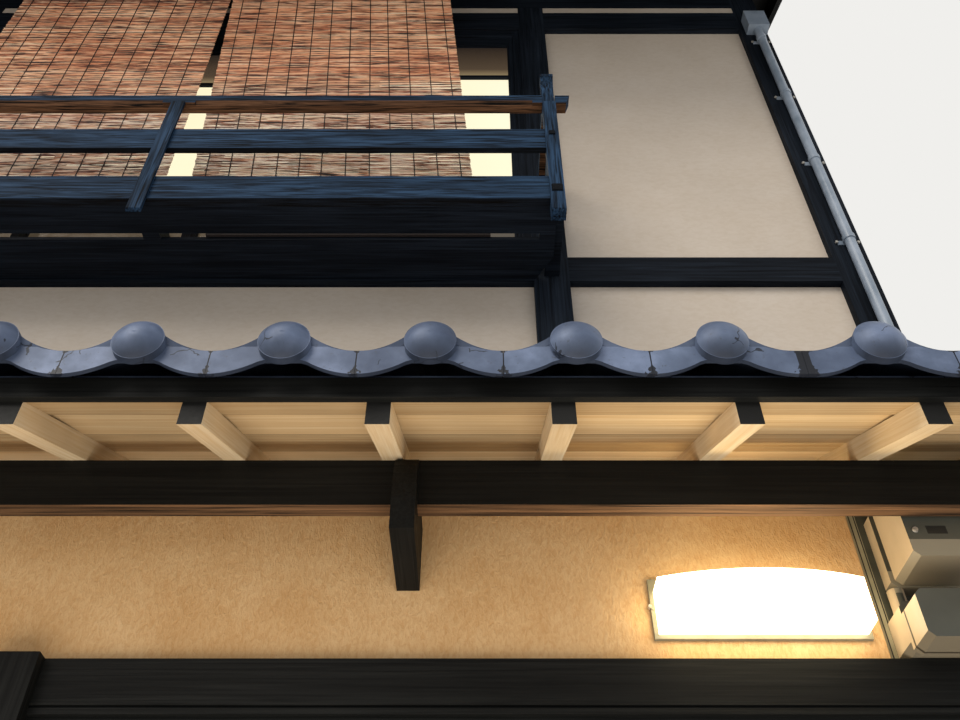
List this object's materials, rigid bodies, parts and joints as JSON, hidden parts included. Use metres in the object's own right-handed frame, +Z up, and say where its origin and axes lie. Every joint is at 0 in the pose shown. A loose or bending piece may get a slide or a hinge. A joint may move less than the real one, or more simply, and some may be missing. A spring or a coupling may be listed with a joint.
{
  "type": "machiya townhouse",
  "caption": "Two-storey timber townhouse with a tiled pent roof on bracket arms, a railed balcony with reed blinds, plastered walls and a gabled tile roof",
  "frame": {"origin": "on the ground, under the middle of the house", "axes": "+Z up, the street front faces -Y, +X to the right of someone who faces the front"},
  "size_m": [4.51, 9.2238, 7.7123],
  "materials": {
    "dark_timber": "stained and oiled cedar, raised grain",
    "brown_timber": "oiled cedar",
    "pale_timber": "planed cedar, natural",
    "stone": "dressed granite",
    "tan_plaster": "combed earth plaster",
    "cream_plaster": "troweled lime plaster",
    "burnt_boards": "charred cedar boards",
    "roof_tile": "smoked clay tile, satin",
    "pane_glass": "clear pane",
    "reed": "split reeds tied with cord",
    "conduit_paint": "grey-blue paint",
    "lamp_metal": "satin enamel",
    "lamp_diffuser": "opal",
    "meter_plastic": "moulded, satin"
  },
  "bodies": {
    "root": {"corner_posts": "dark_timber", "ground_posts": "dark_timber", "front_lintel": "dark_timber", "entrance_frame": "dark_timber", "lattice_window": "dark_timber", "meter_board": "dark_timber", "floor_beams": "dark_timber", "bracket_arms": "dark_timber", "eave_purlin": "dark_timber", "pent_fascia": "dark_timber", "window_posts": "dark_timber", "upper_beams": "dark_timber", "window_frame": "dark_timber", "window_sashes": "dark_timber", "balcony_floor": "dark_timber", "balcony_posts": "dark_timber", "balcony_bottom_rail": "dark_timber", "balcony_middle_rail": "dark_timber", "balcony_top_rail": "dark_timber", "roof_rafters": "dark_timber", "roof_boards": "dark_timber", "entrance_doors": "brown_timber", "rear_windows": "brown_timber", "upper_floor": "brown_timber", "pent_rafters": "pale_timber", "pent_sheathing": "pale_timber", "foundation": "stone", "lower_front_wall": "tan_plaster", "upper_front_panels": "cream_plaster", "rear_wall": "cream_plaster", "party_walls": "burnt_boards", "pent_roof_tiles": "roof_tile", "pent_eave_tiles": "roof_tile", "roof_tiles": "roof_tile", "ridge_tiles": "roof_tile", "window_glass": "pane_glass", "ground_glass": "pane_glass", "rear_glass": "pane_glass", "left_blind": "reed", "right_blind": "reed", "conduit": "conduit_paint", "conduit_fittings": "conduit_paint", "lamp_base": "lamp_metal", "lamp_diffuser": "lamp_diffuser", "meter_boxes": "meter_plastic"}
  },
  "joints": []
}
